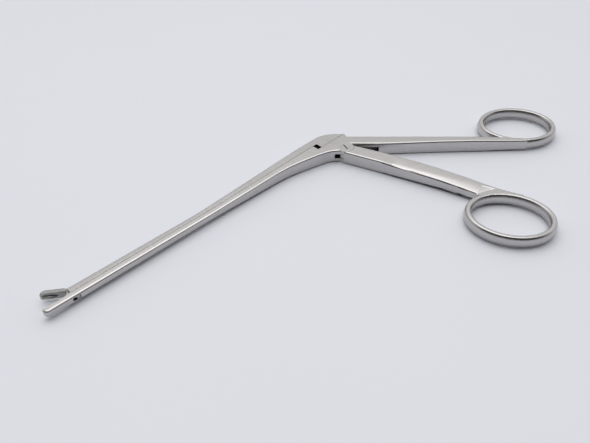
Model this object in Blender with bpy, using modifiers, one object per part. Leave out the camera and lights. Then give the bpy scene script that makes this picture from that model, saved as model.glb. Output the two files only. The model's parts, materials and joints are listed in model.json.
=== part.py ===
# Microlumbar forceps: a ring-handled forceps with a sliding shaft, lying on its side as it comes to rest.
# Units are metres and +Z is up. The origin is on the axis of the handle pivot screw, at the level it lies on.
# +X runs along the rear handle towards its ring, and the shaft leaves the pivot towards -X and -Y.
# Places along the shaft are written (u, v): u runs from the handle pivot towards the jaws, v towards the slide.

import math

import bmesh
import bpy
from mathutils import Matrix, Vector
from mathutils.geometry import convex_hull_2d

MM = 0.001

# Thickness across the side faces, and where it changes
BODY_THICKNESS = 6.0 * MM
SHAFT_THICKNESS = 3.0 * MM
RING_THICKNESS = 5.0 * MM
SHAFT_TAPER_START = 14.0 * MM
SHAFT_TAPER_END = 69.0 * MM
REAR_TAPER_START = 58.0 * MM
REAR_TAPER_END = 76.0 * MM
FRONT_TAPER_START = 18.0 * MM
FRONT_TAPER_END = 60.0 * MM
EDGE_RADIUS = 0.8 * MM
SHAFT_EDGE = 0.68 * MM

# Shaft and bend
SHAFT_ANGLE = 45.8
UNDERSIDE = 7.8 * MM
WAIST_AT = 75.0 * MM
WAIST_HEIGHT = 4.8 * MM
SHAFT_END_HEIGHT = 5.3 * MM
SHOULDER_AT = 20.0 * MM
SHOULDER_HEIGHT = 6.4 * MM
BEND_HEIGHT = 6.65 * MM
BEND_RADIUS = 13.0 * MM
BELLY_START = 60.0 * MM
BELLY_AT = 27.0 * MM
BELLY_DROP = 0.4 * MM
SHAFT_BLEND_RADIUS = 60.0 * MM
UNDER_BEND_AT = 6.3 * MM
UNDER_BEND_RADIUS = 12.0 * MM
BODY_UNDERSIDE = 2.95 * MM
BODY_CREST = 10.7 * MM
CREST_END = 0.25 * MM
CREST_STEP_LEAN = 0.7 * MM

# Seams between the fixed bar and the slide
SEAM = 10.45 * MM
REAR_SEAM = 7.35 * MM
SEAM_GAP = 0.12 * MM
SLIDE_OVERHANG = 1.55 * MM
SLIDE_STEP = 7.2 * MM
BODY_STEP = 9.55 * MM
SLIDE_TAIL = 7.2 * MM

# Handles: the rear one's levels above the pivot, and the front one's edges as (x, y, radius)
HANDLE_BACK = 8.6 * MM
CROTCH_LEVEL = 2.55 * MM
REAR_STRAIGHT_END = 17.0 * MM
REAR_WAIST_AT = 42.0 * MM
REAR_WAIST_WIDTH = 4.5 * MM
HANDLE_BLEND_RADIUS = 80.0 * MM
CHEEK_RADIUS = 3.65 * MM
SHOULDER_GAP = 0.1 * MM
SHOULDER_TURN = 23.6
FRONT_FAR_EDGE = (
    (17.6 * MM, -4.7 * MM, HANDLE_BLEND_RADIUS),
    (34.6 * MM, -12.9 * MM, HANDLE_BLEND_RADIUS),
    (50.0 * MM, -22.3 * MM, HANDLE_BLEND_RADIUS),
    (60.0 * MM, -29.0 * MM, HANDLE_BLEND_RADIUS / 2),
)
FRONT_NEAR_EDGE = (
    (50.8 * MM, -31.4 * MM, HANDLE_BLEND_RADIUS / 40),
    (40.8 * MM, -25.0 * MM, HANDLE_BLEND_RADIUS),
    (13.9 * MM, -11.1 * MM, HANDLE_BLEND_RADIUS),
    (-0.9 * MM, -4.0 * MM, 0.0),
)

# Ground facets on both sides of the front handle: the line they start from, the end by the ring, and their tilt
FACET_LINE = ((20.2 * MM, -12.2 * MM), (58.8 * MM, -29.5 * MM))
FACET_END = ((52.0 * MM, -32.2 * MM), (47.5 * MM, -34.0 * MM))
FACET_OVERRUN = 3.0 * MM
FACET_TILT = 10.0

# Finger rings: their centre lines, section, places and turns
RING_LENGTH = 32.4 * MM
RING_WIDTH = 26.0 * MM
RING_WALL = 2.9 * MM
RING_FLAT = 0.7 * MM
REAR_RING_AT = (79.8 * MM, 20.0 * MM)
REAR_RING_TURN = 1.8
FRONT_RING_AT = (61.1 * MM, -45.5 * MM)
FRONT_RING_TURN = -12.4

# Handle pivot screw
HEAD_RADIUS = 1.8 * MM
HEAD_DEPTH = 1.2 * MM
SHANK_RADIUS = 1.4 * MM
THREAD_RADIUS = 1.1 * MM
THREAD_DEPTH = 1.6 * MM
DRIVER_SLOT_WIDTH = 0.5 * MM
DRIVER_SLOT_DEPTH = 0.7 * MM
DRIVER_SLOT_TURN = -64.0

# Tongue and lever of the front handle, the room for them in the body, and the pin by which they drive the slide
TONGUE_THICKNESS = 2.0 * MM
TONGUE_SIDE_GAP = 0.1 * MM
HUB_RADIUS = 3.4 * MM
NECK_REACH = 6.5 * MM
NECK_TURNS = (-62.0, -4.0)
NECK_ROOT_TURNS = (-88.0, 12.0)
LEVER_ARM = 9.3 * MM
LEVER_ROOT_WIDTH = 4.6 * MM
LEVER_END_WIDTH = 3.4 * MM
LEVER_OVERRUN = 1.5 * MM
SLIDE_PIN_RADIUS = 0.75 * MM
MOUTH_START = 4.7 * MM
MOUTH_END = 15.0 * MM
MOUTH_ROOF = 5.6 * MM

# Jaws: pivot, drive pin, parting plane and cups
JAW_PIVOT_AT = 128.6 * MM
JAW_HUB_RADIUS = 1.2 * MM
JAW_ARM = 3.25 * MM
JAW_LUG_RADIUS = 0.85 * MM
JAW_OPEN_ANGLE = 36.0
JAW_PIN_RADIUS = 0.5 * MM
DRIVE_PIN_RADIUS = 0.45 * MM
PARTING = 10.05 * MM
BITE_GAP = 0.06 * MM
JAW_LENGTH = 8.7 * MM
JAW_HEEL_GAP = 0.24 * MM
JAW_HEEL_SLOPE = 1.1 * MM
JAW_BACK = 11.95 * MM
JAW_NOSE_RADIUS = 1.9 * MM
SPOON_NOSE_RADIUS = 1.5 * MM
TAB_THICKNESS = 1.2 * MM
TAB_SIDE_GAP = 0.06 * MM
TAB_SEAT_GAP = 0.2 * MM
TAB_ROOT_RADIUS = 0.7 * MM
TAB_SLOT_REAR = 1.85 * MM
TAB_SLOT_FRONT = 2.3 * MM
TAB_SLOT_FLOOR = 1.5 * MM
CUP_LENGTH = 5.6 * MM
CUP_WIDTH = 2.3 * MM
CUP_DEPTH = 1.15 * MM
CUP_RIM = 0.6 * MM

# Tee-shaped guide ribs under the slide: the front one lies behind the jaw pivot, the rear one ahead of the handle pivot
RIB_STEM_WIDTH = 0.9 * MM
RIB_STEM_DEPTH = 0.7 * MM
RIB_HEAD_WIDTH = 1.6 * MM
RIB_HEAD_DEPTH = 0.6 * MM
FRONT_RIB_BACK = 10.6 * MM
FRONT_RIB_LENGTH = 18.0 * MM
REAR_RIB_AT = 24.0 * MM
REAR_RIB_LENGTH = 14.0 * MM

# Fits
RUNNING_GAP = 0.05 * MM
PIN_GAP = 0.03 * MM
PIN_SKIN = 0.3 * MM
CLEARANCE = 0.3 * MM
RIB_END_GAP = 0.5 * MM

# Worked out from the sizes above
MID = BODY_THICKNESS / 2
JAW_HALF_SWING = math.radians(JAW_OPEN_ANGLE / 2)
JAW_PIVOT_HEIGHT = UNDERSIDE + JAW_HUB_RADIUS
STROKE = 2 * JAW_ARM * math.sin(JAW_HALF_SWING)
SLIDE_FRONT = JAW_PIVOT_AT + SLIDE_OVERHANG
JAW_HEEL = SLIDE_FRONT + STROKE + JAW_HEEL_GAP
JAW_TIP = JAW_HEEL + JAW_LENGTH
FRONT_RIB = (JAW_PIVOT_AT - FRONT_RIB_BACK - FRONT_RIB_LENGTH, JAW_PIVOT_AT - FRONT_RIB_BACK)
REAR_RIB = (REAR_RIB_AT, REAR_RIB_AT + REAR_RIB_LENGTH)
LEVER_HALF_SWING = math.atan2(STROKE / 2, LEVER_ARM)
CUTTER_HEIGHT = 3 * BODY_THICKNESS
BEYOND = 20 * MM

STEEL = (0.60, 0.60, 0.61, 1.0)
ROUGHNESS = 0.34
ROUND_SIDES = 48
RING_SIDES = 56
ARC_STEP = 9.0


def on_shaft(u, v):
    """Plan position of a point given along and across the shaft."""
    turn = math.radians(SHAFT_ANGLE)
    return (-u * math.cos(turn) - v * math.sin(turn), -u * math.sin(turn) + v * math.cos(turn))


def polar(radius, degrees):
    """Plan position at a radius and a direction from the handle pivot."""
    turn = math.radians(degrees)
    return (radius * math.cos(turn), radius * math.sin(turn))


def arc(radius, start, end):
    """Plan positions along an arc about the handle pivot."""
    count = max(2, math.ceil(abs(end - start) / ARC_STEP))
    return [polar(radius, start + (end - start) * i / count) for i in range(count + 1)]


def rounded(corners):
    """Closed outline through corners (x, y, radius), each turned into an arc of its radius."""
    outline = []
    for i, (x, y, radius) in enumerate(corners):
        corner = Vector((x, y))
        before = (Vector(corners[i - 1][:2]) - corner).normalized()
        after = (Vector(corners[(i + 1) % len(corners)][:2]) - corner).normalized()
        opening = before.angle(after)
        if radius == 0 or math.pi - opening < 0.001:
            outline.append((x, y))
            continue
        centre = corner + (before + after).normalized() * radius / math.sin(opening / 2)
        first = corner + before * radius / math.tan(opening / 2) - centre
        left_turn = before.x * after.y - before.y * after.x < 0
        turn = (math.pi - opening) * (1 if left_turn else -1)
        steps = max(1, math.ceil(math.degrees(abs(turn)) / ARC_STEP))
        for k in range(steps + 1):
            point = centre + Matrix.Rotation(turn * k / steps, 2) @ first
            outline.append((point.x, point.y))
    return outline


def in_plan(corners):
    """Turns corners (u, v) or (u, v, radius) into plan corners (x, y, radius)."""
    return [(*on_shaft(*corner[:2]), corner[2] if len(corner) > 2 else 0.0) for corner in corners]


def new_collection(name):
    made = bpy.data.collections.new(name)
    bpy.context.scene.collection.children.link(made)
    return made


def settle(obj):
    """Bakes the object's placing into its mesh, and rounds its heights so that flush faces stay flush."""
    bpy.context.view_layer.update()
    obj.data.transform(obj.matrix_world)
    obj.matrix_world = Matrix.Identity(4)
    for vert in obj.data.vertices:
        vert.co.z = round(vert.co.z, 7)


def mesh_from(obj, name):
    """Replaces a curve, or an object with modifiers, by a plain closed mesh object of that name."""
    bpy.context.view_layer.update()
    graph = bpy.context.evaluated_depsgraph_get()
    mesh = bpy.data.meshes.new_from_object(obj.evaluated_get(graph), depsgraph=graph)
    work = bmesh.new()
    work.from_mesh(mesh)
    bmesh.ops.remove_doubles(work, verts=work.verts, dist=0.00001)
    bmesh.ops.recalc_face_normals(work, faces=work.faces)
    work.to_mesh(mesh)
    work.free()
    solid = bpy.data.objects.new(name, mesh)
    solid.matrix_world = obj.matrix_world
    shaping.objects.link(solid)
    bpy.data.objects.remove(obj)
    settle(solid)
    return solid


def poly_curve(name, points):
    """Flat closed curve through points."""
    curve = bpy.data.curves.new(name, "CURVE")
    curve.dimensions = "2D"
    spline = curve.splines.new("POLY")
    spline.points.add(len(points) - 1)
    for point, (x, y) in zip(spline.points, points):
        point.co = (x, y, 0.0, 1.0)
    spline.use_cyclic_u = True
    obj = bpy.data.objects.new(name, curve)
    shaping.objects.link(obj)
    return obj


def plate(name, outline, thickness, edge=0.0):
    """Flat solid of an outline about the middle plane, with its rims rounded to edge."""
    obj = poly_curve(name, outline)
    obj.data.fill_mode = "BOTH"
    obj.data.extrude = thickness / 2 - edge
    obj.data.bevel_depth = edge
    obj.data.bevel_resolution = 2
    obj.data.offset = -edge
    obj.location.z = MID
    return mesh_from(obj, name)


def disc(name, radius, thickness, at=(0.0, 0.0)):
    """Upright round solid about the middle plane."""
    bpy.ops.mesh.primitive_cylinder_add(vertices=ROUND_SIDES, radius=radius, depth=thickness, location=(*at, MID))
    obj = bpy.context.object
    obj.name = name
    settle(obj)
    return obj


def turned(name, profile):
    """Round solid from a profile (radius, height) that runs from the axis down its outer side to the axis."""
    mesh = bpy.data.meshes.new(name)
    edges = [(i, i + 1) for i in range(len(profile) - 1)]
    mesh.from_pydata([(radius, 0.0, height) for radius, height in profile], edges, [])
    obj = bpy.data.objects.new(name, mesh)
    shaping.objects.link(obj)
    turn = obj.modifiers.new("Turn", "SCREW")
    turn.steps = ROUND_SIDES
    turn.render_steps = ROUND_SIDES
    turn.use_merge_vertices = True
    turn.merge_threshold = 0.00001
    return mesh_from(obj, name)


def cup_tool(name, level):
    """Ellipsoid that hollows a jaw's cup, centred on a level by the jaw's rim."""
    bpy.ops.mesh.primitive_uv_sphere_add(segments=24, ring_count=12, radius=1.0)
    obj = bpy.context.object
    obj.name = name
    obj.scale = (CUP_LENGTH / 2, CUP_WIDTH / 2, CUP_DEPTH)
    obj.rotation_euler = (math.radians(90), 0.0, math.radians(SHAFT_ANGLE))
    obj.location = (*on_shaft(JAW_TIP - CUP_RIM - CUP_LENGTH / 2, level), MID)
    settle(obj)
    return obj


def boolean(obj, other, operation):
    """Applies a Boolean with another solid, which is used up."""
    modifier = obj.modifiers.new(operation.title(), "BOOLEAN")
    modifier.object = other
    modifier.operation = operation
    modifier.solver = "EXACT"
    bpy.ops.object.select_all(action="DESELECT")
    obj.select_set(True)
    bpy.context.view_layer.objects.active = obj
    bpy.ops.object.modifier_apply(modifier=modifier.name)
    bpy.data.objects.remove(other)


def cut(obj, *tools):
    for tool in tools:
        boolean(obj, tool, "DIFFERENCE")


def add(obj, *others):
    for other in others:
        boolean(obj, other, "UNION")


def copy_within(obj, name, region):
    """A copy of a solid, kept only where a region is."""
    twin = obj.copy()
    twin.data = obj.data.copy()
    twin.name = name
    shaping.objects.link(twin)
    boolean(twin, region, "INTERSECT")
    return twin


def taper(obj, direction, start, end, thin, thin_edge):
    """Thins a plate evenly between two distances along a plan direction, its rims with it."""
    along = Vector((*direction, 0.0)).normalized()
    work = bmesh.new()
    work.from_mesh(obj.data)
    for distance in (start, end):
        everything = work.verts[:] + work.edges[:] + work.faces[:]
        bmesh.ops.bisect_plane(work, geom=everything, dist=0.000001, plane_co=along * distance, plane_no=along)
    for vert in work.verts:
        share = min(1.0, max(0.0, (vert.co.dot(along) - start) / (end - start)))
        if share > 0:
            half = (BODY_THICKNESS + (thin - BODY_THICKNESS) * share) / 2
            rim = (BODY_THICKNESS / 2 - abs(vert.co.z - MID)) * (1 + (thin_edge / EDGE_RADIUS - 1) * share)
            vert.co.z = round(MID + math.copysign(half - rim, vert.co.z - MID), 7)
    work.to_mesh(obj.data)
    work.free()


def ring_point(centre, turn, degrees, outward=0.0):
    """Plan position on a finger ring's centre line, or that far outward of it."""
    angle = math.radians(degrees)
    across = Vector((math.cos(angle) / RING_LENGTH, math.sin(angle) / RING_WIDTH)).normalized()
    spot = Vector((RING_LENGTH / 2 * math.cos(angle), RING_WIDTH / 2 * math.sin(angle))) + across * outward
    return tuple(Vector(centre) + Matrix.Rotation(math.radians(turn), 2) @ spot)


def finger_ring(name, centre, turn):
    """Oval ring: a section with flat top and bottom and bowed walls, carried round its centre line."""
    half_flat = RING_FLAT / 2
    bow = (RING_WALL - RING_FLAT) / 2
    section = []
    for side in (1, -1):
        for k in range(7):
            angle = math.radians(-90 + 30 * k)
            section.append((side * (half_flat + bow * math.cos(angle)), side * RING_THICKNESS / 2 * math.sin(angle)))
    profile = poly_curve(name + "_section", section)
    path = poly_curve(name, [ring_point((0.0, 0.0), 0.0, 360 * i / RING_SIDES) for i in range(RING_SIDES)])
    path.data.fill_mode = "NONE"
    path.data.bevel_mode = "OBJECT"
    path.data.bevel_object = profile
    path.location = (*centre, MID)
    path.rotation_euler.z = math.radians(turn)
    solid = mesh_from(path, name)
    bpy.data.objects.remove(profile)
    return solid


def shaft_block(name, rear, front, low, high, thickness):
    """Box along the shaft between two u and two v places."""
    return plate(name, rounded(in_plan([(rear, low), (front, low), (front, high), (rear, high)])), thickness)


def guide_tee(name, rear, front, gap):
    """Guide rib, or its groove in the bar when a gap is given."""
    root = SEAM + SEAM_GAP / 2
    head = root - RIB_STEM_DEPTH
    foot = head - RIB_HEAD_DEPTH
    tee = shaft_block(name, rear, front, foot - gap, head + gap, RIB_HEAD_WIDTH + 2 * gap)
    add(tee, shaft_block(name + "_stem", rear + RUNNING_GAP, front - RUNNING_GAP, (head + foot) / 2,
                         SEAM + CLEARANCE, RIB_STEM_WIDTH + 2 * gap))
    return tee


def screw_profile(gap, overrun):
    """Outer side of the handle pivot screw, or of its bore when a gap and an overrun are given."""
    top = BODY_THICKNESS + overrun
    seat = BODY_THICKNESS - HEAD_DEPTH - gap
    step = THREAD_DEPTH - gap
    return [
        (0.0, top),
        (HEAD_RADIUS + gap, top),
        (HEAD_RADIUS + gap, seat),
        (SHANK_RADIUS + gap, seat),
        (SHANK_RADIUS + gap, step),
        (THREAD_RADIUS + gap, step),
        (THREAD_RADIUS + gap, -overrun),
        (0.0, -overrun),
    ]


def closed_blank():
    """Shaft, body and rear handle in one blank, with the slide and the closed upper jaw still on it."""
    bend = on_shaft(0.0, UNDERSIDE + BEND_HEIGHT)
    bend_x = bend[0] + (BODY_CREST - bend[1]) / math.tan(math.radians(SHAFT_ANGLE))
    ring = (REAR_RING_AT, REAR_RING_TURN)
    inset = EDGE_RADIUS + RUNNING_GAP
    corners = [
        (CREST_END, BODY_CREST, 0.0),
        (bend_x, BODY_CREST, BEND_RADIUS),
        *in_plan([
            (SHOULDER_AT, UNDERSIDE + SHOULDER_HEIGHT, SHAFT_BLEND_RADIUS),
            (WAIST_AT, UNDERSIDE + WAIST_HEIGHT, SHAFT_BLEND_RADIUS),
            (SLIDE_FRONT, UNDERSIDE + SHAFT_END_HEIGHT),
            (JAW_HEEL + JAW_HEEL_SLOPE, JAW_BACK),
            (JAW_TIP, JAW_BACK, JAW_NOSE_RADIUS),
            (JAW_TIP, UNDERSIDE, SPOON_NOSE_RADIUS),
            (BELLY_START, UNDERSIDE, SHAFT_BLEND_RADIUS),
            (BELLY_AT, UNDERSIDE - BELLY_DROP, SHAFT_BLEND_RADIUS),
        ]),
        (-UNDER_BEND_AT, -BODY_UNDERSIDE, UNDER_BEND_RADIUS),
        (-CHEEK_RADIUS / 2, -BODY_UNDERSIDE, 0.0),
        (0.0, -CHEEK_RADIUS / 2, 0.0),
        (CHEEK_RADIUS / 2, CROTCH_LEVEL, 0.0),
        (REAR_STRAIGHT_END, CROTCH_LEVEL, HANDLE_BLEND_RADIUS),
        (REAR_WAIST_AT, HANDLE_BACK - REAR_WAIST_WIDTH, HANDLE_BLEND_RADIUS),
        (*ring_point(*ring, -88, RING_WALL / 2 - RUNNING_GAP), 0.0),
        (*ring_point(*ring, -88, -inset), 0.0),
        (*ring_point(*ring, -110, -inset), 0.0),
        (ring_point(*ring, -128)[0], HANDLE_BACK, 0.0),
        (CREST_END + CREST_STEP_LEAN, HANDLE_BACK, 0.0),
    ]
    blank = plate("blank", rounded(corners), BODY_THICKNESS, EDGE_RADIUS)
    taper(blank, on_shaft(1.0, 0.0), SHAFT_TAPER_START, SHAFT_TAPER_END, SHAFT_THICKNESS, SHAFT_EDGE)
    taper(blank, (1.0, 0.0), REAR_TAPER_START, REAR_TAPER_END, RING_THICKNESS, EDGE_RADIUS)
    return blank


def slide_region():
    """Everything above the seams, from the slide's tail to its front face."""
    half_gap = SEAM_GAP / 2
    corners = in_plan([
        (-SLIDE_TAIL, REAR_SEAM + half_gap),
        (SLIDE_STEP, REAR_SEAM + half_gap),
        (SLIDE_STEP, SEAM + half_gap),
        (SLIDE_FRONT, SEAM + half_gap),
        (SLIDE_FRONT, BEYOND),
        (-SLIDE_TAIL, BEYOND),
    ])
    return plate("slide_region", rounded(corners), CUTTER_HEIGHT)


def above_bar():
    """Everything above the fixed member's seams and above the parting plane of the jaws."""
    half_gap = SEAM_GAP / 2
    bar_end = JAW_HEEL - CLEARANCE
    corners = in_plan([
        (-BEYOND, REAR_SEAM - half_gap),
        (BODY_STEP, REAR_SEAM - half_gap),
        (BODY_STEP, SEAM - half_gap),
        (bar_end, SEAM - half_gap),
        (bar_end, PARTING),
        (JAW_TIP + BEYOND, PARTING),
        (JAW_TIP + BEYOND, BEYOND),
        (-BEYOND, BEYOND),
    ])
    return plate("above_bar", rounded(corners), CUTTER_HEIGHT)


def jaw_region():
    """The upper jaw's part of the closed nose, with a heel that clears the slide as the jaw opens."""
    rim = PARTING + BITE_GAP
    corners = in_plan([
        (JAW_HEEL, rim),
        (JAW_HEEL - RUNNING_GAP, rim + 2 * CLEARANCE),
        (JAW_HEEL + CLEARANCE, (rim + JAW_BACK) / 2 + CLEARANCE),
        (JAW_HEEL + JAW_HEEL_SLOPE, JAW_BACK + RUNNING_GAP),
        (JAW_HEEL + JAW_HEEL_SLOPE, BEYOND),
        (JAW_TIP + BEYOND, BEYOND),
        (JAW_TIP + BEYOND, rim),
    ])
    return plate("jaw_region", rounded(corners), CUTTER_HEIGHT)


def tongue_room():
    """Room between the body's cheeks for the front handle's tongue and the swing of its lever."""
    half = LEVER_ROOT_WIDTH / 2 + REAR_SEAM * math.tan(LEVER_HALF_SWING) + CLEARANCE
    corners = [
        (-MOUTH_START, -BEYOND, 0.0),
        (-MOUTH_START, -BODY_UNDERSIDE, 0.0),
        *in_plan([(half, REAR_SEAM), (half, REAR_SEAM + CLEARANCE), (-half, REAR_SEAM + CLEARANCE)]),
        (HUB_RADIUS, MOUTH_ROOF, 0.0),
        (MOUTH_END - CLEARANCE, MOUTH_ROOF, 0.0),
        (MOUTH_END, CROTCH_LEVEL, 0.0),
        (MOUTH_END, -BEYOND, 0.0),
    ]
    return plate("tongue_room", rounded(corners), TONGUE_THICKNESS + 2 * TONGUE_SIDE_GAP)


def tab_slot():
    """Slot through the bar for the upper jaw's tab, with a round seat behind the hub and room in front to close."""
    seat = JAW_HUB_RADIUS + TAB_SEAT_GAP
    rear = JAW_PIVOT_AT - TAB_SLOT_REAR
    front = JAW_PIVOT_AT + TAB_SLOT_FRONT
    end = JAW_HEEL + JAW_HEEL_SLOPE + CLEARANCE
    corners = in_plan([
        (JAW_PIVOT_AT, -BEYOND),
        (front, -BEYOND),
        (front, UNDERSIDE + TAB_SLOT_FLOOR / 2),
        (end, UNDERSIDE + TAB_SLOT_FLOOR),
        (end, BEYOND),
        (rear, BEYOND),
        (rear, SEAM),
        (JAW_PIVOT_AT - seat, JAW_PIVOT_HEIGHT),
        (JAW_PIVOT_AT, JAW_PIVOT_HEIGHT),
    ])
    width = TAB_THICKNESS + 2 * TAB_SIDE_GAP
    slot = plate("tab_slot", rounded(corners), width)
    add(slot, disc("tab_seat", seat, width, on_shaft(JAW_PIVOT_AT, JAW_PIVOT_HEIGHT)))
    return slot


def fixed_member(blank):
    """Bar with the lower jaw, body and rear handle with its ring, all one piece."""
    cut(blank, above_bar())
    add(blank, disc("cheek", CHEEK_RADIUS, BODY_THICKNESS))
    add(blank, finger_ring("rear_ring", REAR_RING_AT, REAR_RING_TURN))
    cut(blank, tongue_room(), turned("screw_bore", screw_profile(RUNNING_GAP, BEYOND)))
    cut(blank, tab_slot(), cup_tool("lower_cup", PARTING + RUNNING_GAP))
    cut(blank, disc("jaw_pin_bore", JAW_PIN_RADIUS + PIN_GAP, SHAFT_THICKNESS - 2 * PIN_SKIN,
                    on_shaft(JAW_PIVOT_AT, JAW_PIVOT_HEIGHT)))
    for rear, front in (FRONT_RIB, REAR_RIB):
        cut(blank, guide_tee("groove", rear - RIB_END_GAP, front + STROKE + RIB_END_GAP, RUNNING_GAP))
    return blank


def sliding_bar(blank):
    """Slide along the back of the bar, hollowed for the lever and forked for the jaw's tab."""
    slide = copy_within(blank, "slide", slide_region())
    middle = -STROKE / 2
    room = LEVER_ROOT_WIDTH / 2 + CLEARANCE
    drive_at = JAW_PIVOT_AT - STROKE / 2
    drive_low = JAW_PIVOT_HEIGHT + JAW_ARM * math.cos(JAW_HALF_SWING) - DRIVE_PIN_RADIUS - 2 * RUNNING_GAP
    drive_high = JAW_PIVOT_HEIGHT + JAW_ARM + DRIVE_PIN_RADIUS + 2 * RUNNING_GAP
    reach = DRIVE_PIN_RADIUS + RUNNING_GAP
    cut(
        slide,
        shaft_block("lever_room", middle - room, middle + room, 0.0, LEVER_ARM + LEVER_OVERRUN + CLEARANCE,
                    TONGUE_THICKNESS + 2 * TONGUE_SIDE_GAP),
        disc("slide_pin_bore", SLIDE_PIN_RADIUS + PIN_GAP, BODY_THICKNESS - 2 * PIN_SKIN,
             on_shaft(middle, LEVER_ARM)),
        shaft_block("fork_slot", JAW_PIVOT_AT - JAW_HUB_RADIUS - STROKE, SLIDE_FRONT + BEYOND, 0.0, BEYOND,
                    TAB_THICKNESS + 2 * TAB_SIDE_GAP),
        shaft_block("drive_slots", drive_at - reach, drive_at + reach, drive_low, drive_high,
                    SHAFT_THICKNESS - 2 * PIN_SKIN),
    )
    for rear, front in (FRONT_RIB, REAR_RIB):
        add(slide, guide_tee("rib", rear, front, 0.0))
    return slide


def jaw_tab():
    """Tab of the closed upper jaw: a web round the hub, the drive lug and the jaw's root."""
    lug_u = JAW_PIVOT_AT + JAW_ARM * math.sin(JAW_HALF_SWING)
    lug_v = JAW_PIVOT_HEIGHT + JAW_ARM * math.cos(JAW_HALF_SWING)
    root_v = PARTING + BITE_GAP + (JAW_BACK - PARTING) / 2
    rounds = [
        (on_shaft(JAW_PIVOT_AT, JAW_PIVOT_HEIGHT), JAW_HUB_RADIUS),
        (on_shaft(lug_u, lug_v), JAW_LUG_RADIUS),
        (on_shaft(JAW_HEEL + JAW_HEEL_SLOPE, root_v), TAB_ROOT_RADIUS),
    ]
    points = [(x + dx, y + dy) for (x, y), radius in rounds for dx, dy in arc(radius, 0, 360)[:-1]]
    return plate("tab", [points[i] for i in convex_hull_2d([Vector(p) for p in points])], TAB_THICKNESS)


def upper_jaw(blank):
    """Hinged jaw, shaped closed."""
    jaw = copy_within(blank, "upper_jaw", jaw_region())
    add(jaw, jaw_tab())
    cut(
        jaw,
        cup_tool("upper_cup", PARTING + BITE_GAP - RUNNING_GAP),
        disc("hub_bore", JAW_PIN_RADIUS + RUNNING_GAP, BODY_THICKNESS, on_shaft(JAW_PIVOT_AT, JAW_PIVOT_HEIGHT)),
        disc("lug_bore", DRIVE_PIN_RADIUS + PIN_GAP, BODY_THICKNESS, on_shaft(
            JAW_PIVOT_AT + JAW_ARM * math.sin(JAW_HALF_SWING),
            JAW_PIVOT_HEIGHT + JAW_ARM * math.cos(JAW_HALF_SWING),
        )),
    )
    return jaw


def handle_tongue():
    """Middle web of the front handle: hub, neck into the handle, and lever with an open fork for the slide's pin."""
    lever_turn = SHAFT_ANGLE + 90 - math.degrees(LEVER_HALF_SWING)
    root_turn = math.degrees(math.asin(LEVER_ROOT_WIDTH / 2 / HUB_RADIUS))
    along = Vector(polar(1.0, lever_turn))
    across = Vector(polar(1.0, lever_turn + 90))
    half = LEVER_END_WIDTH / 2
    top = LEVER_ARM + LEVER_OVERRUN
    floor = LEVER_ARM - SLIDE_PIN_RADIUS - CLEARANCE
    fork = SLIDE_PIN_RADIUS + RUNNING_GAP
    end = [(top, -half), (top, -fork), (floor, -fork), (floor, fork), (top, fork), (top, half)]
    outline = [
        polar(NECK_REACH, NECK_TURNS[0]),
        polar(NECK_REACH, NECK_TURNS[1]),
        *arc(HUB_RADIUS, NECK_ROOT_TURNS[1], lever_turn - root_turn),
        *[tuple(along * a + across * b) for a, b in end],
        *arc(HUB_RADIUS, lever_turn + root_turn, NECK_ROOT_TURNS[0] + 360),
    ]
    return plate("tongue", outline, TONGUE_THICKNESS)


def facet_tool(along, side):
    """Wedge that grinds a tilted facet on one side of the front handle, up to the shoulder of its ring."""
    start, end = (Vector(point) for point in FACET_LINE)
    line = (end - start).normalized()
    near = Vector((line.y, -line.x))
    outline = [start, end, *FACET_END, start + (near - line) * FACET_OVERRUN]
    tool = plate("facet", [tuple(point) for point in outline], CUTTER_HEIGHT)
    slope = (RING_THICKNESS - BODY_THICKNESS) / 2 / (FRONT_TAPER_END - FRONT_TAPER_START)
    for vert in tool.data.vertices:
        if vert.co.z < MID:
            place = vert.co.xy
            taken = (place - start).dot(near) * math.tan(math.radians(FACET_TILT))
            surface = BODY_THICKNESS / 2 + (place.dot(along) - FRONT_TAPER_START) * slope
            vert.co.z = MID + surface - taken
        else:
            vert.co.z = MID + BEYOND
    if side < 0:
        bpy.context.view_layer.update()
        tool.data.transform(Matrix.Translation((0.0, 0.0, 2 * MID)) @ Matrix.Scale(-1, 4, (0.0, 0.0, 1.0)))
        tool.data.flip_normals()
    settle(tool)
    return tool


def swinging_handle():
    """Front handle with its ring, tongue and lever, one piece that turns on the screw."""
    ring = (FRONT_RING_AT, FRONT_RING_TURN)
    inset = EDGE_RADIUS + RUNNING_GAP
    corners = [
        (*polar(CHEEK_RADIUS + 2 * SHOULDER_GAP, SHOULDER_TURN), 0.0),
        *FRONT_FAR_EDGE,
        (*ring_point(*ring, 72, RING_WALL / 2 - RUNNING_GAP), 0.0),
        (*ring_point(*ring, 72, -inset), 0.0),
        (*ring_point(*ring, 90, -inset), 0.0),
        (*ring_point(*ring, 110, -inset), 0.0),
        (*ring_point(*ring, 125, -inset), 0.0),
        (*ring_point(*ring, 138), 0.0),
        *FRONT_NEAR_EDGE,
        (0.0, -CHEEK_RADIUS / 2, 0.0),
        (CHEEK_RADIUS / 2, 0.0, 0.0),
    ]
    handle = plate("front_handle", rounded(corners), BODY_THICKNESS, EDGE_RADIUS)
    along = Vector(FRONT_FAR_EDGE[-1][:2]).normalized()
    taper(handle, along, FRONT_TAPER_START, FRONT_TAPER_END, RING_THICKNESS, EDGE_RADIUS)
    cut(handle, disc("shoulder", CHEEK_RADIUS + SHOULDER_GAP, CUTTER_HEIGHT))
    add(handle, finger_ring("front_ring", FRONT_RING_AT, FRONT_RING_TURN), handle_tongue())
    cut(handle, facet_tool(along, 1), facet_tool(along, -1))
    cut(handle, disc("shank_bore", SHANK_RADIUS + RUNNING_GAP, CUTTER_HEIGHT))
    return handle


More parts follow.
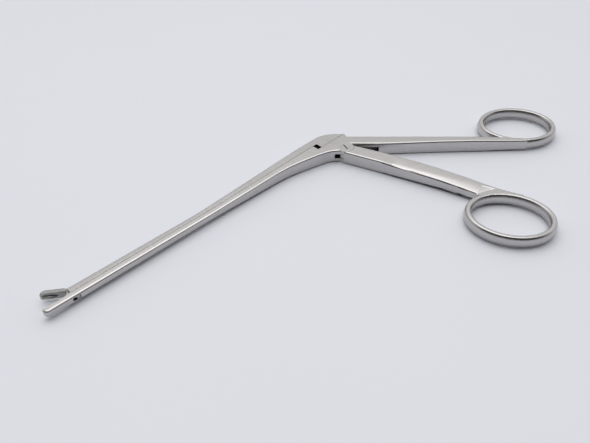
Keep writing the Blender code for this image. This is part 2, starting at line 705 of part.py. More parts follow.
def pivot_screw():
    """Screw on which the handles turn, with a driver slot across its head."""
    screw = turned("handle_pivot_screw", screw_profile(0.0, 0.0))
    end = Vector(polar(2 * HEAD_RADIUS, DRIVER_SLOT_TURN))
    side = Vector(polar(DRIVER_SLOT_WIDTH / 2, DRIVER_SLOT_TURN + 90))
    slot = plate("driver_slot", [tuple(p) for p in (end + side, -end + side, -end - side, end - side)],
                 2 * DRIVER_SLOT_DEPTH)
    slot.location.z = BODY_THICKNESS - MID
    settle(slot)
    cut(screw, slot)
    return screw


def move_origin(obj, x, y):
    """Puts the object's origin on an upright axis without moving the object."""
    obj.data.transform(Matrix.Translation((-x, -y, -MID)))
    obj.location = (x, y, MID)


def finish(obj, name):
    """Names a finished piece, gives it its steel and shading, and files it with the parts."""
    obj.name = name
    obj.data.name = name
    steel = bpy.data.materials.new(name)
    steel.use_nodes = True
    shader = steel.node_tree.nodes["Principled BSDF"]
    shader.inputs["Base Color"].default_value = STEEL
    shader.inputs["Metallic"].default_value = 1.0
    shader.inputs["Roughness"].default_value = ROUGHNESS
    obj.data.materials.clear()
    obj.data.materials.append(steel)
    obj.data.shade_smooth()
    obj.data.set_sharp_from_angle(angle=math.radians(30))
    parts.objects.link(obj)
    shaping.objects.unlink(obj)
    return obj


for old in list(bpy.data.objects):
    bpy.data.objects.remove(old)
parts = new_collection("Microlumbar_forceps")
shaping = new_collection("Shaping")
bpy.context.view_layer.active_layer_collection = bpy.context.view_layer.layer_collection.children[shaping.name]

blank = closed_blank()
slide = finish(sliding_bar(blank), "slide")
jaw = finish(upper_jaw(blank), "upper_jaw")
finish(fixed_member(blank), "fixed_member")
finish(swinging_handle(), "front_handle")
finish(pivot_screw(), "handle_pivot_screw")

pivot = on_shaft(JAW_PIVOT_AT, JAW_PIVOT_HEIGHT)
move_origin(jaw, *pivot)
jaw.rotation_euler.z = -math.radians(JAW_OPEN_ANGLE)
pivot_pin = finish(disc("pin", JAW_PIN_RADIUS, SHAFT_THICKNESS - 2 * PIN_SKIN - 2 * PIN_GAP), "jaw_pivot_pin")
pivot_pin.location = (*pivot, 0.0)

drive_pin = finish(disc("pin", DRIVE_PIN_RADIUS, SHAFT_THICKNESS - 2 * PIN_SKIN - 2 * PIN_GAP), "jaw_drive_pin")
drive_pin.parent = jaw
drive_pin.location = (*on_shaft(JAW_ARM * math.sin(JAW_HALF_SWING), JAW_ARM * math.cos(JAW_HALF_SWING)), -MID)
slide_pin = finish(disc("pin", SLIDE_PIN_RADIUS, BODY_THICKNESS - 2 * PIN_SKIN - 2 * PIN_GAP), "slide_drive_pin")
slide_pin.parent = slide
slide_pin.location = (*on_shaft(-STROKE / 2, LEVER_ARM), 0.0)
bpy.data.collections.remove(shaping)
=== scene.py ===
import json
import math

import bmesh
import bpy
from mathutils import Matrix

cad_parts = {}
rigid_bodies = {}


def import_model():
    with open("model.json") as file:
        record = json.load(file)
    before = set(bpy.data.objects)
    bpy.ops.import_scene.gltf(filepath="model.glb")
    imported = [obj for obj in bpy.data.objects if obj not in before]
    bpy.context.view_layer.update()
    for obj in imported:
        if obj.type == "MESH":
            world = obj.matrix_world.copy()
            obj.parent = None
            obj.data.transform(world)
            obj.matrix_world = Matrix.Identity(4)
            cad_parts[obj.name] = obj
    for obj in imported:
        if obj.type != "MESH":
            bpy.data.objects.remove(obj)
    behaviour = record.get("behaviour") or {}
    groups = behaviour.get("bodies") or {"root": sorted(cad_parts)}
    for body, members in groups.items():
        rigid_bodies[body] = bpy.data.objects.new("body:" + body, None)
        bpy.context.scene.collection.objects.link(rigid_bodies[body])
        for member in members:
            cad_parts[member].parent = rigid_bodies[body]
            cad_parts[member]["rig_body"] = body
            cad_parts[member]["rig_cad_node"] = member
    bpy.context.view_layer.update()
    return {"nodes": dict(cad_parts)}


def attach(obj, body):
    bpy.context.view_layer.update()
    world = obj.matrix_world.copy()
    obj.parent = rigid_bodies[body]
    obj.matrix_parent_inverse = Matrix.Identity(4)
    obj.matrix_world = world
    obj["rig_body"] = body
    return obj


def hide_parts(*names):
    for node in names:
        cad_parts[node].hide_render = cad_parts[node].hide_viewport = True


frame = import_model()

bl_info = {
    "name": "Microlumbar forceps",
    "version": (1, 0, 0),
    "blender": (4, 5, 0),
    "location": "3D View > Sidebar > Forceps",
    "description": "Gives a microlumbar forceps its satin steel and lays it on a studio table",
    "category": "Object",
}

# Directions that the pieces are brushed along, in degrees about the upright axis
SHAFT_TURN = 45.8
UPPER_JAW_TURN = SHAFT_TURN - 36
FRONT_HANDLE_TURN = -32.0

# X in metres at which the fixed member's rear handle starts, which is brushed along X
HANDLE_FROM = 0.0

# How bright a piece's steel is against the fixed member's, and how satin the ground pins are
SLIDE_SHADE = 0.97
UPPER_JAW_SHADE = 0.7
PIN_ROUGHNESS = 0.25

# Face slopes that tell the level tops, the ground facets and the upright walls apart, in degrees from level
LEVEL_SLOPE = 3.0
FACET_SLOPES = (8.0, 12.0)
WALL_SLOPE = 50.0
UPRIGHT_SLOPE = 89.0

# Below this, the Y of a face's normal says that the face looks to the near side
NEAR_FACING = -0.4

# Chamfers along the seam, the shortest edge that gets one, and the rounding of the facets' rim, in metres
SEAM_CHAMFER = 0.0001
SEAM_SHORTEST = 0.0015
FACET_ROUNDING = 0.0006
FACET_ROUNDING_STEPS = 4

# How a copy's triangles are joined up and shaded
MERGE_DISTANCE = 0.000002
FLAT_ANGLE = math.radians(0.15)
SMOOTH_ANGLE = math.radians(42)
LARGE_FACE_WEIGHT = 80

# Noise values that count as the lowest and the highest
NOISE_SPAN = (0.3, 0.7)

# Upward share of a normal between which the streaks of the walls give way to those of the faces
FACE_SPAN = (0.55, 0.85)

# Agreement of the rounded and the true normal where an edge's wear starts and where it is full
EDGE_SPAN = (0.995, 0.90)
EDGE_SAMPLES = 6
WEAR_SPAN = (0.35, 0.65)
LEAST_WEAR = 0.45
WORN_TONE = 0.6

# Share of open surroundings at which the painted shade of a recess starts and at which it is full
RECESS_SPAN = (0.6, 0.2)
RECESS_SAMPLES = 8

# Height of the sanded grain against that of the brush streaks
GRAIN_HEIGHT = 0.5

# Unevenness of the table's tone, and its dull surface
TABLE_PATCH_SCALE = 9.0
TABLE_DARKEST = 0.985
TABLE_ROUGHNESS = 0.6
TABLE_SHINE = 0.2

# Room light from straight down, at 0, to straight up, at 1, on its far and on its near side
FAR_ROOM = ((0.0, 0.55), (0.3, 0.62), (0.55, 0.85), (0.80, 0.85), (1.0, 0.75))
NEAR_ROOM = ((0.0, 0.50), (0.06, 0.08), (0.50, 0.03), (0.80, 0.06), (0.95, 0.4), (1.0, 0.75))
ROOM_SIDES = (0.15, -0.45)

SENSOR_WIDTH = 36
NEAREST_VIEW = 0.01


def add_node(tree, kind, inputs=None, **settings):
    """Adds a shader node with its settings, and feeds its inputs from values or from other nodes' sockets."""
    node = tree.nodes.new(kind)
    for key, value in settings.items():
        setattr(node, key, value)
    for key, value in (inputs or {}).items():
        if isinstance(value, bpy.types.NodeSocket):
            tree.links.new(value, node.inputs[key])
        else:
            node.inputs[key].default_value = value
    return node


def calculate(tree, operation, *values, clamp=False):
    """Adds a Math node and returns its result."""
    node = add_node(tree, "ShaderNodeMath", dict(enumerate(values)), operation=operation, use_clamp=clamp)
    return node.outputs[0]


def map_range(tree, value, low, high, to_low=0.0, to_high=1.0):
    """Adds a Map Range node that clamps, and returns its result."""
    inputs = {"Value": value, "From Min": low, "From Max": high, "To Min": to_low, "To Max": to_high}
    return add_node(tree, "ShaderNodeMapRange", inputs, clamp=True).outputs["Result"]


def mix_colours(tree, share, first, second):
    """Adds a Mix node for two colours and returns its result."""
    node = add_node(tree, "ShaderNodeMix", data_type="RGBA", blend_type="MIX")
    for socket, value in zip((node.inputs[0], node.inputs[6], node.inputs[7]), (share, first, second)):
        if isinstance(value, bpy.types.NodeSocket):
            tree.links.new(value, socket)
        else:
            socket.default_value = value
    return node.outputs[2]


def new_group(name, inputs, outputs):
    """Makes a shader node group with named float sockets, and returns it with its input and output nodes."""
    group = bpy.data.node_groups.new(name, "ShaderNodeTree")
    for label, value in inputs.items():
        socket = group.interface.new_socket(label, in_out="INPUT", socket_type="NodeSocketFloat")
        socket.default_value = value
    for label, kind in outputs.items():
        group.interface.new_socket(label, in_out="OUTPUT", socket_type=kind)
    return group, group.nodes.new("NodeGroupInput"), group.nodes.new("NodeGroupOutput")


def brushing_group():
    """Fine streaks along the faces and along the side walls, as a belt leaves them."""
    group, given, result = new_group(
        "Brushing",
        {"Turn": 0.0, "Streak Length": 0.02, "Streak Width": 0.0002},
        {"Streaks": "NodeSocketFloat"},
    )
    place = add_node(group, "ShaderNodeTexCoord")
    turned = add_node(group, "ShaderNodeVectorRotate", {
        "Vector": place.outputs["Object"], "Angle": given.outputs["Turn"],
    }, rotation_type="Z_AXIS")
    part = add_node(group, "ShaderNodeSeparateXYZ", {"Vector": turned.outputs[0]})
    facing = add_node(group, "ShaderNodeSeparateXYZ", {"Vector": place.outputs["Normal"]})
    flatness = map_range(group, calculate(group, "ABSOLUTE", facing.outputs["Z"]), *FACE_SPAN)
    length, width = given.outputs["Streak Length"], given.outputs["Streak Width"]
    x, y, z = part.outputs
    on_face = add_node(group, "ShaderNodeCombineXYZ", {
        "X": calculate(group, "DIVIDE", x, length),
        "Y": calculate(group, "DIVIDE", y, width),
        "Z": calculate(group, "DIVIDE", z, length),
    })
    on_wall = add_node(group, "ShaderNodeCombineXYZ", {
        "X": calculate(group, "DIVIDE", x, length),
        "Y": calculate(group, "DIVIDE", y, length),
        "Z": calculate(group, "DIVIDE", z, width),
    })
    face = add_node(group, "ShaderNodeTexNoise", {"Vector": on_face.outputs[0], "Scale": 1.0, "Detail": 4.0})
    wall = add_node(group, "ShaderNodeTexNoise", {"Vector": on_wall.outputs[0], "Scale": 0.6, "Detail": 4.0})
    both = add_node(group, "ShaderNodeMix", data_type="FLOAT")
    sources = (flatness, wall.outputs[0], face.outputs[0])
    for socket, source in zip(both.inputs[:1] + both.inputs[2:4], sources):
        group.links.new(source, socket)
    group.links.new(both.outputs[0], result.inputs["Streaks"])
    return group


def turning_group():
    """Rings round the upright axis through the origin, as a lathe leaves them on a screw's head."""
    group, given, result = new_group("Turning", {"Ring Width": 0.0001}, {"Rings": "NodeSocketFloat"})
    place = add_node(group, "ShaderNodeTexCoord")
    level = add_node(group, "ShaderNodeVectorMath", {0: place.outputs["Object"], 1: (1.0, 1.0, 0.0)},
                     operation="MULTIPLY")
    radius = add_node(group, "ShaderNodeVectorMath", {0: level.outputs[0]}, operation="LENGTH")
    rings = calculate(group, "DIVIDE", radius.outputs["Value"], given.outputs["Ring Width"])
    noise = add_node(group, "ShaderNodeTexNoise", {"W": rings, "Scale": 1.0, "Detail": 3.0},
                     noise_dimensions="1D")
    group.links.new(noise.outputs[0], result.inputs["Rings"])
    return group


def edge_wear_group():
    """Where the edges are: a worn mask, broken up along them, and a normal that rounds them."""
    group, given, result = new_group(
        "Edge wear",
        {"Edge Width": 0.0002, "Wear Scale": 300.0},
        {"Wear": "NodeSocketFloat", "Rounded Normal": "NodeSocketVector"},
    )
    place = add_node(group, "ShaderNodeTexCoord")
    surface = add_node(group, "ShaderNodeNewGeometry")
    rounded = add_node(group, "ShaderNodeBevel", {"Radius": given.outputs["Edge Width"]},
                       samples=EDGE_SAMPLES)
    along = add_node(group, "ShaderNodeVectorMath", {0: rounded.outputs[0], 1: surface.outputs["Normal"]},
                     operation="DOT_PRODUCT")
    edge = map_range(group, along.outputs["Value"], *EDGE_SPAN)
    noise = add_node(group, "ShaderNodeTexNoise", {
        "Vector": place.outputs["Object"], "Scale": given.outputs["Wear Scale"], "Detail": 3.0,
    })
    broken = map_range(group, noise.outputs[0], *WEAR_SPAN, LEAST_WEAR, 1.0)
    group.links.new(calculate(group, "MULTIPLY", edge, broken), result.inputs["Wear"])
    group.links.new(rounded.outputs[0], result.inputs["Rounded Normal"])
    return group


def recess_shade_group():
    """Painted shade where a piece shades itself: its slots, cups and inside corners, found by ambient
    occlusion.
    """
    group, given, result = new_group("Painted recess shade", {"Reach": 0.001}, {"Recess": "NodeSocketFloat"})
    open_share = add_node(group, "ShaderNodeAmbientOcclusion", {"Distance": given.outputs["Reach"]},
                          only_local=True, samples=RECESS_SAMPLES)
    group.links.new(map_range(group, open_share.outputs["AO"], *RECESS_SPAN), result.inputs["Recess"])
    return group


def handling_group():
    """Soft patches left by hands and cleaning, and the fine sanded grain under them."""
    group, given, result = new_group(
        "Handling",
        {"Patch Scale": 60.0, "Grain Scale": 9000.0},
        {"Patches": "NodeSocketFloat", "Grain": "NodeSocketFloat"},
    )
    place = add_node(group, "ShaderNodeTexCoord")
    for label, detail, wanted in (("Patch Scale", 2.0, "Patches"), ("Grain Scale", 1.0, "Grain")):
        noise = add_node(group, "ShaderNodeTexNoise", {
            "Vector": place.outputs["Object"], "Scale": given.outputs[label], "Detail": detail,
        })
        group.links.new(map_range(group, noise.outputs[0], *NOISE_SPAN), result.inputs[wanted])
    return group


def place_group(tree, name, **values):
    """Places one of the shared groups in a material, with that material's own values."""
    node = add_node(tree, "ShaderNodeGroup", node_tree=bpy.data.node_groups[name])
    for key, value in values.items():
        node.inputs[key.replace("_", " ").title()].default_value = value
    return node


def satin_steel(name, turn=None, turn_from=None, shade=1.0, roughness=None):
    """Satin stainless steel, brushed along a direction, or turned on a lathe when none is given.

    Where turn_from is given, what lies to its right is brushed along X instead.
    """
    look = bpy.context.scene.forceps_steel
    material = bpy.data.materials.new(name)
    material.use_nodes = True
    tree = material.node_tree
    shader = tree.nodes["Principled BSDF"]
    shader.inputs["Metallic"].default_value = 1.0
    if turn is None:
        marks = place_group(tree, "Turning", ring_width=look.streak_width).outputs[0]
    else:
        brushing = place_group(tree, "Brushing", turn=math.radians(turn), streak_length=look.streak_length,
                               streak_width=look.streak_width)
        marks = brushing.outputs[0]
        if turn_from is not None:
            place = add_node(tree, "ShaderNodeTexCoord")
            part = add_node(tree, "ShaderNodeSeparateXYZ", {"Vector": place.outputs["Object"]})
            before = calculate(tree, "LESS_THAN", part.outputs["X"], turn_from)
            tree.links.new(calculate(tree, "MULTIPLY", before, math.radians(turn)), brushing.inputs["Turn"])
    wear = place_group(tree, "Edge wear", edge_width=look.edge_width, wear_scale=look.wear_scale)
    handling = place_group(tree, "Handling", patch_scale=look.patch_scale, grain_scale=look.grain_scale)
    recess = place_group(tree, "Painted recess shade", reach=look.recess_reach)
    steel = [channel * shade for channel in look.steel_colour]
    low = (*[channel * (1 - look.streak_contrast) for channel in steel], 1.0)
    high = (*[min(1.0, channel * (1 + look.streak_contrast)) for channel in steel], 1.0)
    streaked = mix_colours(tree, map_range(tree, marks, *NOISE_SPAN), low, high)
    rubbed = calculate(tree, "MULTIPLY", wear.outputs["Wear"], WORN_TONE)
    worn = mix_colours(tree, rubbed, streaked, (*look.edge_colour, 1.0))
    # Painted shade: slots, cups and inside corners are darkened towards a near-black colour where ambient
    # occlusion finds them
    painted_shade_share = calculate(tree, "MULTIPLY", recess.outputs["Recess"], look.recess_shade_strength)
    tree.links.new(mix_colours(tree, painted_shade_share, worn, (*look.recess_shade_colour, 1.0)), shader.inputs["Base Color"])

    base = roughness or look.roughness
    patchy = map_range(tree, handling.outputs["Patches"], 0.0, 1.0, base - look.roughness_spread,
                       base + look.roughness_spread)
    spread = map_range(tree, marks, *NOISE_SPAN, -0.5, 0.5)
    streaky = calculate(tree, "MULTIPLY_ADD", spread, look.roughness_spread, patchy)
    smoother = calculate(tree, "MULTIPLY", wear.outputs["Wear"], look.edge_polish)
    tree.links.new(calculate(tree, "SUBTRACT", streaky, smoother, clamp=True), shader.inputs["Roughness"])

    relief = calculate(tree, "MULTIPLY_ADD", handling.outputs["Grain"], GRAIN_HEIGHT, marks)
    bump = add_node(tree, "ShaderNodeBump", {
        "Height": relief,
        "Normal": wear.outputs["Rounded Normal"],
        "Strength": look.relief_strength,
        "Distance": look.relief_depth,
    })
    tree.links.new(bump.outputs[0], shader.inputs["Normal"])
    return material


def paint(piece, material):
    """Gives a piece its one material."""
    piece.data.materials.clear()
    piece.data.materials.append(material)


def only(piece):
    """Leaves one object selected and active."""
    bpy.ops.object.select_all(action="DESELECT")
    piece.select_set(True)
    bpy.context.view_layer.objects.active = piece


def slope(face):
    """Angle of a face from level, in degrees, whichever way up it is."""
    return math.degrees(math.acos(min(1.0, abs(face.normal.z))))


def select_edges(piece, wanted):
    """Selects a piece's edges whose two neighbouring faces, the more level one first, pass a test."""
    bpy.ops.mesh.select_mode(type="EDGE")
    bpy.ops.mesh.select_all(action="DESELECT")
    work = bmesh.from_edit_mesh(piece.data)
    for edge in work.edges:
        if len(edge.link_faces) == 2:
            low, high = sorted(edge.link_faces, key=slope)
            edge.select_set(wanted(edge, slope(low), slope(high)))
    bmesh.update_edit_mesh(piece.data)


def is_seam(edge, low, high):
    """Long outer edges between a level top and an upright wall, as along the seam of the slide."""
    square = edge.is_convex and low < LEVEL_SLOPE and high > UPRIGHT_SLOPE
    return square and edge.calc_length() > SEAM_SHORTEST


def is_facet_rim(edge, low, high):
    """Edges where a ground facet meets the near wall, or what is left of that wall's own rounding."""
    near = min(face.normal.y for face in edge.link_faces) < NEAR_FACING
    return FACET_SLOPES[0] < low < FACET_SLOPES[1] and high > WALL_SLOPE and near


def is_facet_line(edge, low, high):
    """Edges where a ground facet meets the level top."""
    return low < LEVEL_SLOPE and FACET_SLOPES[0] < high < FACET_SLOPES[1]


def finished_copy(node, chamfered=False, faceted=False):
    """A copy of a CAD piece, joined up and with its curved sides shaded smooth, which stands for it."""
    only(frame["nodes"][node])
    bpy.ops.object.duplicate()
    piece = bpy.context.object
    piece.name = piece.data.name = node + "_finished"
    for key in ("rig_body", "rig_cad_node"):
        del piece[key]
    piece.parent = None
    bpy.ops.object.mode_set(mode="EDIT")
    bpy.ops.mesh.customdata_custom_splitnormals_clear()
    bpy.ops.mesh.select_all(action="SELECT")
    bpy.ops.mesh.remove_doubles(threshold=MERGE_DISTANCE)
    bpy.ops.mesh.mark_sharp(clear=True)
    bpy.ops.mesh.dissolve_limited(angle_limit=FLAT_ANGLE)
    if chamfered:
        select_edges(piece, is_seam)
        bpy.ops.mesh.bevel(offset=SEAM_CHAMFER, segments=1, clamp_overlap=False)
    if faceted:
        select_edges(piece, is_facet_rim)
        bpy.ops.mesh.bevel(offset=FACET_ROUNDING, segments=FACET_ROUNDING_STEPS, clamp_overlap=False)
    bpy.ops.object.mode_set(mode="OBJECT")
    bpy.ops.object.shade_smooth_by_angle(angle=SMOOTH_ANGLE)
    if faceted:
        bpy.ops.object.mode_set(mode="EDIT")
        select_edges(piece, is_facet_line)
        bpy.ops.mesh.mark_sharp()
        bpy.ops.object.mode_set(mode="OBJECT")
    even = piece.modifiers.new("Even shading", "WEIGHTED_NORMAL")
    even.keep_sharp = True
    even.weight = LARGE_FACE_WEIGHT
    bpy.ops.object.modifier_apply(modifier=even.name)
    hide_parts(node)
    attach(piece, frame["nodes"][node]["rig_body"])
    return piece


class ForcepsSteel(bpy.types.PropertyGroup):
    """Sizes and colours of the satin steel, and of the painted shade in its recesses."""

    steel_colour: bpy.props.FloatVectorProperty(
        name="Steel", description="Colour of the satin steel", subtype="COLOR", size=3, min=0, max=1,
        default=(0.53, 0.515, 0.51))
    edge_colour: bpy.props.FloatVectorProperty(
        name="Edges", description="Colour of the steel where its edges are rubbed bright",
        subtype="COLOR", size=3, min=0, max=1, default=(0.60, 0.59, 0.585))
    roughness: bpy.props.FloatProperty(
        name="Roughness", description="How far the satin surface spreads a reflection", default=0.28,
        min=0.05, max=1)
    roughness_spread: bpy.props.FloatProperty(
        name="Roughness spread", description="How much the roughness varies over a piece",
        default=0.035, min=0, max=0.3)
    edge_polish: bpy.props.FloatProperty(
        name="Edge polish", description="How much smoother the rubbed edges are", default=0.1, min=0,
        max=0.5)
    streak_contrast: bpy.props.FloatProperty(
        name="Streak contrast", description="How far the brush streaks differ in tone", default=0.055,
        min=0, max=0.5)
    streak_length: bpy.props.FloatProperty(
        name="Streak length", description="Length of a brush streak", default=0.012, min=0.001,
        subtype="DISTANCE", unit="LENGTH")
    streak_width: bpy.props.FloatProperty(
        name="Streak width", description="Width of a brush streak", default=0.00022, min=0.00002,
        subtype="DISTANCE", unit="LENGTH", precision=5)
    edge_width: bpy.props.FloatProperty(
        name="Edge width", description="Width of the rubbed strip along an edge", default=0.00018,
        min=0.00001, subtype="DISTANCE", unit="LENGTH", precision=5)
    wear_scale: bpy.props.FloatProperty(
        name="Wear scale", description="How finely the wear along the edges is broken up",
        default=350.0, min=1)
    patch_scale: bpy.props.FloatProperty(
        name="Patch scale", description="How finely the handled patches lie", default=70.0, min=1)
    grain_scale: bpy.props.FloatProperty(
        name="Grain scale", description="How fine the sanded grain is", default=9000.0, min=100)
    # Painted shade: the colour that slots and inside corners are darkened towards
    recess_shade_colour: bpy.props.FloatVectorProperty(
        name="Painted recess shade", description="Colour of the painted shade in slots and inside corners",
        subtype="COLOR", size=3, min=0, max=1, default=(0.05, 0.046, 0.042))
    recess_reach: bpy.props.FloatProperty(
        name="Recess reach", description="How far apart two walls may be and still shade each other",
        default=0.0025, min=0.0001, subtype="DISTANCE", unit="LENGTH", precision=4)
    # Painted shade: how far slots and inside corners are darkened
    recess_shade_strength: bpy.props.FloatProperty(
        name="Recess shade strength", description="How far the painted shade darkens the recesses towards that colour",
        default=0.85, min=0, max=1)
    relief_depth: bpy.props.FloatProperty(
        name="Relief depth", description="Depth of the brush streaks and the grain", default=0.000004,
        min=0, subtype="DISTANCE", unit="LENGTH", precision=6)
    relief_strength: bpy.props.FloatProperty(
        name="Relief strength", description="How strongly the streaks and the grain catch the light",
        default=0.5, min=0, max=1)


class ForcepsStage(bpy.types.PropertyGroup):
    """Sizes and colours of the table, the lights and the camera."""

    table_colour: bpy.props.FloatVectorProperty(
        name="Table", description="Colour of the table", subtype="COLOR", size=3, min=0, max=1,
        default=(0.80, 0.815, 0.87))
    table_width: bpy.props.FloatProperty(
        name="Table width", description="Width of the table", default=6.0, min=1, subtype="DISTANCE",
        unit="LENGTH")
    lamp_distance: bpy.props.FloatProperty(
        name="Lamp distance", description="How far the soft lamp stands from the screw", default=0.9,
        min=0.2, subtype="DISTANCE", unit="LENGTH")
    lamp_elevation: bpy.props.FloatProperty(
        name="Lamp elevation", description="Angle of the soft lamp over the table on the far side",
        default=math.radians(86), subtype="ANGLE", unit="ROTATION")
    lamp_aside: bpy.props.FloatProperty(
        name="Lamp aside", description="How far the soft lamp stands to the right", default=-0.05,
        subtype="DISTANCE", unit="LENGTH")
    lamp_width: bpy.props.FloatProperty(
        name="Lamp width", description="Width of the soft lamp", default=1.1, min=0.1,
        subtype="DISTANCE", unit="LENGTH")
    lamp_power: bpy.props.FloatProperty(
        name="Lamp power", description="Power of the soft lamp", default=4.6, min=0, subtype="POWER",
        unit="POWER")
    room_light: bpy.props.FloatProperty(
        name="Room light", description="Strength of the light that the room gives", default=1.0, min=0)
    camera_place: bpy.props.FloatVectorProperty(
        name="Camera", description="Where the camera stands", subtype="TRANSLATION", size=3,
        default=(-0.02196, -0.24741, 0.17115))
    camera_tilt: bpy.props.FloatProperty(
        name="Camera tilt", description="Tilt of the camera up from straight down",
        default=math.radians(50), subtype="ANGLE", unit="ROTATION")
    camera_lens: bpy.props.FloatProperty(
        name="Lens", description="Focal length in millimetres on a 36 mm sensor", default=41.49, min=10)


class FORCEPS_OT_shared_finishes(bpy.types.Operator):
    """Makes the streak, turning, wear, painted recess shade and handling effects that the pieces share"""

    bl_idname = "forceps.shared_finishes"
    bl_label = "Shared finishes"

    def execute(self, context):
        for make in (brushing_group, turning_group, edge_wear_group, recess_shade_group, handling_group):
            make()
        return {"FINISHED"}


class FORCEPS_OT_shaft(bpy.types.Operator):
    """Finishes the fixed member with its lower jaw and rear ring, and the slide on its back"""

    bl_idname = "forceps.shaft"
    bl_label = "Fixed member and slide"

    def execute(self, context):
        fixed = finished_copy("fixed_member", chamfered=True)
        paint(fixed, satin_steel("fixed_member_steel", SHAFT_TURN, turn_from=HANDLE_FROM))
        slide = finished_copy("slide", chamfered=True)
        paint(slide, satin_steel("slide_steel", SHAFT_TURN, shade=SLIDE_SHADE))
        return {"FINISHED"}


class FORCEPS_OT_front_handle(bpy.types.Operator):
    """Finishes the front handle with its ring and lever"""

    bl_idname = "forceps.front_handle"
    bl_label = "Front handle"

    def execute(self, context):
        handle = finished_copy("front_handle", faceted=True)
        paint(handle, satin_steel("front_handle_steel", FRONT_HANDLE_TURN))
        return {"FINISHED"}


class FORCEPS_OT_upper_jaw(bpy.types.Operator):
    """Finishes the hinged jaw with its cup"""

    bl_idname = "forceps.upper_jaw"
    bl_label = "Upper jaw"

    def execute(self, context):
        jaw = finished_copy("upper_jaw")
        paint(jaw, satin_steel("upper_jaw_steel", UPPER_JAW_TURN, shade=UPPER_JAW_SHADE))
        return {"FINISHED"}


class FORCEPS_OT_screw_and_pins(bpy.types.Operator):
    """Finishes the handle pivot screw and the three pins"""

    bl_idname = "forceps.screw_and_pins"
    bl_label = "Screw and pins"

    def execute(self, context):
        screw = finished_copy("handle_pivot_screw")
        paint(screw, satin_steel("handle_pivot_screw_steel"))
        for pin in ("jaw_pivot_pin", "jaw_drive_pin", "slide_drive_pin"):
            paint(frame["nodes"][pin], satin_steel(pin + "_steel", SHAFT_TURN, roughness=PIN_ROUGHNESS))
        return {"FINISHED"}


class FORCEPS_OT_stage(bpy.types.Operator):
    """Makes the pale table, the soft studio light and the camera"""

    bl_idname = "forceps.stage"
    bl_label = "Stage"

    def execute(self, context):
        stage = context.scene.forceps_stage
        make_table(stage)
        make_room(context.scene, stage)
        make_lamp(context.scene, stage)
        make_camera(context.scene, stage)
        context.scene.view_settings.view_transform = "Standard"
        return {"FINISHED"}


def make_table(stage):
    """Plain pale table with a faint unevenness in its tone."""
    bpy.ops.object.select_all(action="DESELECT")
    bpy.ops.mesh.primitive_plane_add(size=stage.table_width, location=(0.0, 0.0, 0.0))
    table = bpy.context.object
    table.name = "table"
    material = bpy.data.materials.new("table_top")
    material.use_nodes = True
    tree = material.node_tree
    place = add_node(tree, "ShaderNodeTexCoord")
    noise = add_node(tree, "ShaderNodeTexNoise", {
        "Vector": place.outputs["Object"], "Scale": TABLE_PATCH_SCALE, "Detail": 2.0,
    })
    darker = (*[channel * TABLE_DARKEST for channel in stage.table_colour], 1.0)
    tone = mix_colours(tree, noise.outputs[0], darker, (*stage.table_colour, 1.0))
    shader = tree.nodes["Principled BSDF"]
    tree.links.new(tone, shader.inputs["Base Color"])
    shader.inputs["Roughness"].default_value = TABLE_ROUGHNESS
    shader.inputs["Specular IOR Level"].default_value = TABLE_SHINE
    table.data.materials.append(material)


def make_room(scene, stage):
    """Light of the room: brighter overhead and on the far side, darker low down on the near side."""
    world = bpy.data.worlds.new("room")
    scene.world = world
    world.use_nodes = True
    tree = world.node_tree
    place = add_node(tree, "ShaderNodeTexCoord")
    part = add_node(tree, "ShaderNodeSeparateXYZ", {"Vector": place.outputs["Generated"]})
    tones = []
    for stops in (FAR_ROOM, NEAR_ROOM):
        ramp = add_node(tree, "ShaderNodeValToRGB", {"Fac": part.outputs["Z"]})
        while len(ramp.color_ramp.elements) < len(stops):
            ramp.color_ramp.elements.new(0.5)
        for element, (at, value) in zip(ramp.color_ramp.elements, stops):
            element.position = at
            element.color = (value, value, value, 1.0)
        tones.append(ramp.outputs["Color"])
    near = map_range(tree, part.outputs["Y"], *ROOM_SIDES)
    light = mix_colours(tree, near, *tones)
    background = tree.nodes["Background"]
    tree.links.new(light, background.inputs["Color"])
    background.inputs["Strength"].default_value = stage.room_light


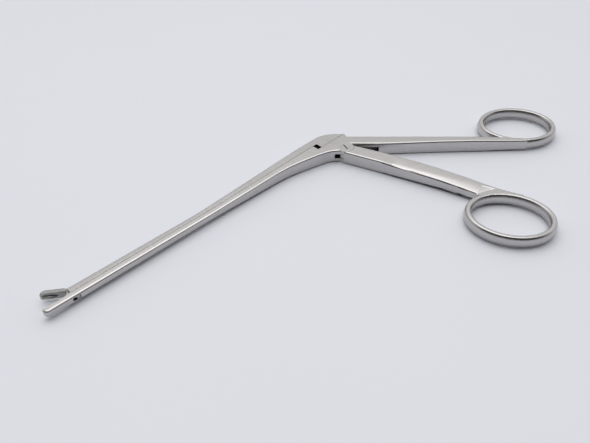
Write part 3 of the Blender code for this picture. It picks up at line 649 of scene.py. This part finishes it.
def make_lamp(scene, stage):
    """Square soft lamp high over the far side of the table, facing the forceps."""
    lamp = bpy.data.lights.new("soft_lamp", "AREA")
    lamp.shape = "SQUARE"
    lamp.size = stage.lamp_width
    lamp.energy = stage.lamp_power
    piece = bpy.data.objects.new("soft_lamp", lamp)
    aside = stage.lamp_distance * math.cos(stage.lamp_elevation)
    piece.location = (stage.lamp_aside, aside, stage.lamp_distance * math.sin(stage.lamp_elevation))
    piece.rotation_euler = piece.location.to_track_quat("Z", "Y").to_euler()
    scene.collection.objects.link(piece)


def make_camera(scene, stage):
    """Camera at the photograph's viewing angle."""
    camera = bpy.data.cameras.new("camera")
    camera.lens = stage.camera_lens
    camera.sensor_width = SENSOR_WIDTH
    camera.sensor_fit = "HORIZONTAL"
    camera.clip_start = NEAREST_VIEW
    piece = bpy.data.objects.new("camera", camera)
    piece.location = stage.camera_place
    piece.rotation_euler = (stage.camera_tilt, 0.0, 0.0)
    scene.collection.objects.link(piece)
    scene.camera = piece


class FORCEPS_PT_panel(bpy.types.Panel):
    """Lists the steps that finish the forceps, and the sizes and colours they use"""

    bl_idname = "FORCEPS_PT_panel"
    bl_label = "Microlumbar forceps"
    bl_space_type = "VIEW_3D"
    bl_region_type = "UI"
    bl_category = "Forceps"

    def draw(self, context):
        for group in (context.scene.forceps_steel, context.scene.forceps_stage):
            box = self.layout.box()
            for name in group.__annotations__:
                box.prop(group, name)
        for operator in OPERATORS:
            self.layout.operator(operator.bl_idname)


OPERATORS = (
    FORCEPS_OT_shared_finishes,
    FORCEPS_OT_shaft,
    FORCEPS_OT_front_handle,
    FORCEPS_OT_upper_jaw,
    FORCEPS_OT_screw_and_pins,
    FORCEPS_OT_stage,
)
CLASSES = (ForcepsSteel, ForcepsStage, *OPERATORS, FORCEPS_PT_panel)


def register():
    for cls in CLASSES:
        bpy.utils.register_class(cls)
    bpy.types.Scene.forceps_steel = bpy.props.PointerProperty(type=ForcepsSteel)
    bpy.types.Scene.forceps_stage = bpy.props.PointerProperty(type=ForcepsStage)


def unregister():
    del bpy.types.Scene.forceps_stage
    del bpy.types.Scene.forceps_steel
    for cls in reversed(CLASSES):
        bpy.utils.unregister_class(cls)


def main():
    register()
    for operator in OPERATORS:
        group, name = operator.bl_idname.split(".")
        getattr(getattr(bpy.ops, group), name)()


if __name__ == "__main__":
    main()
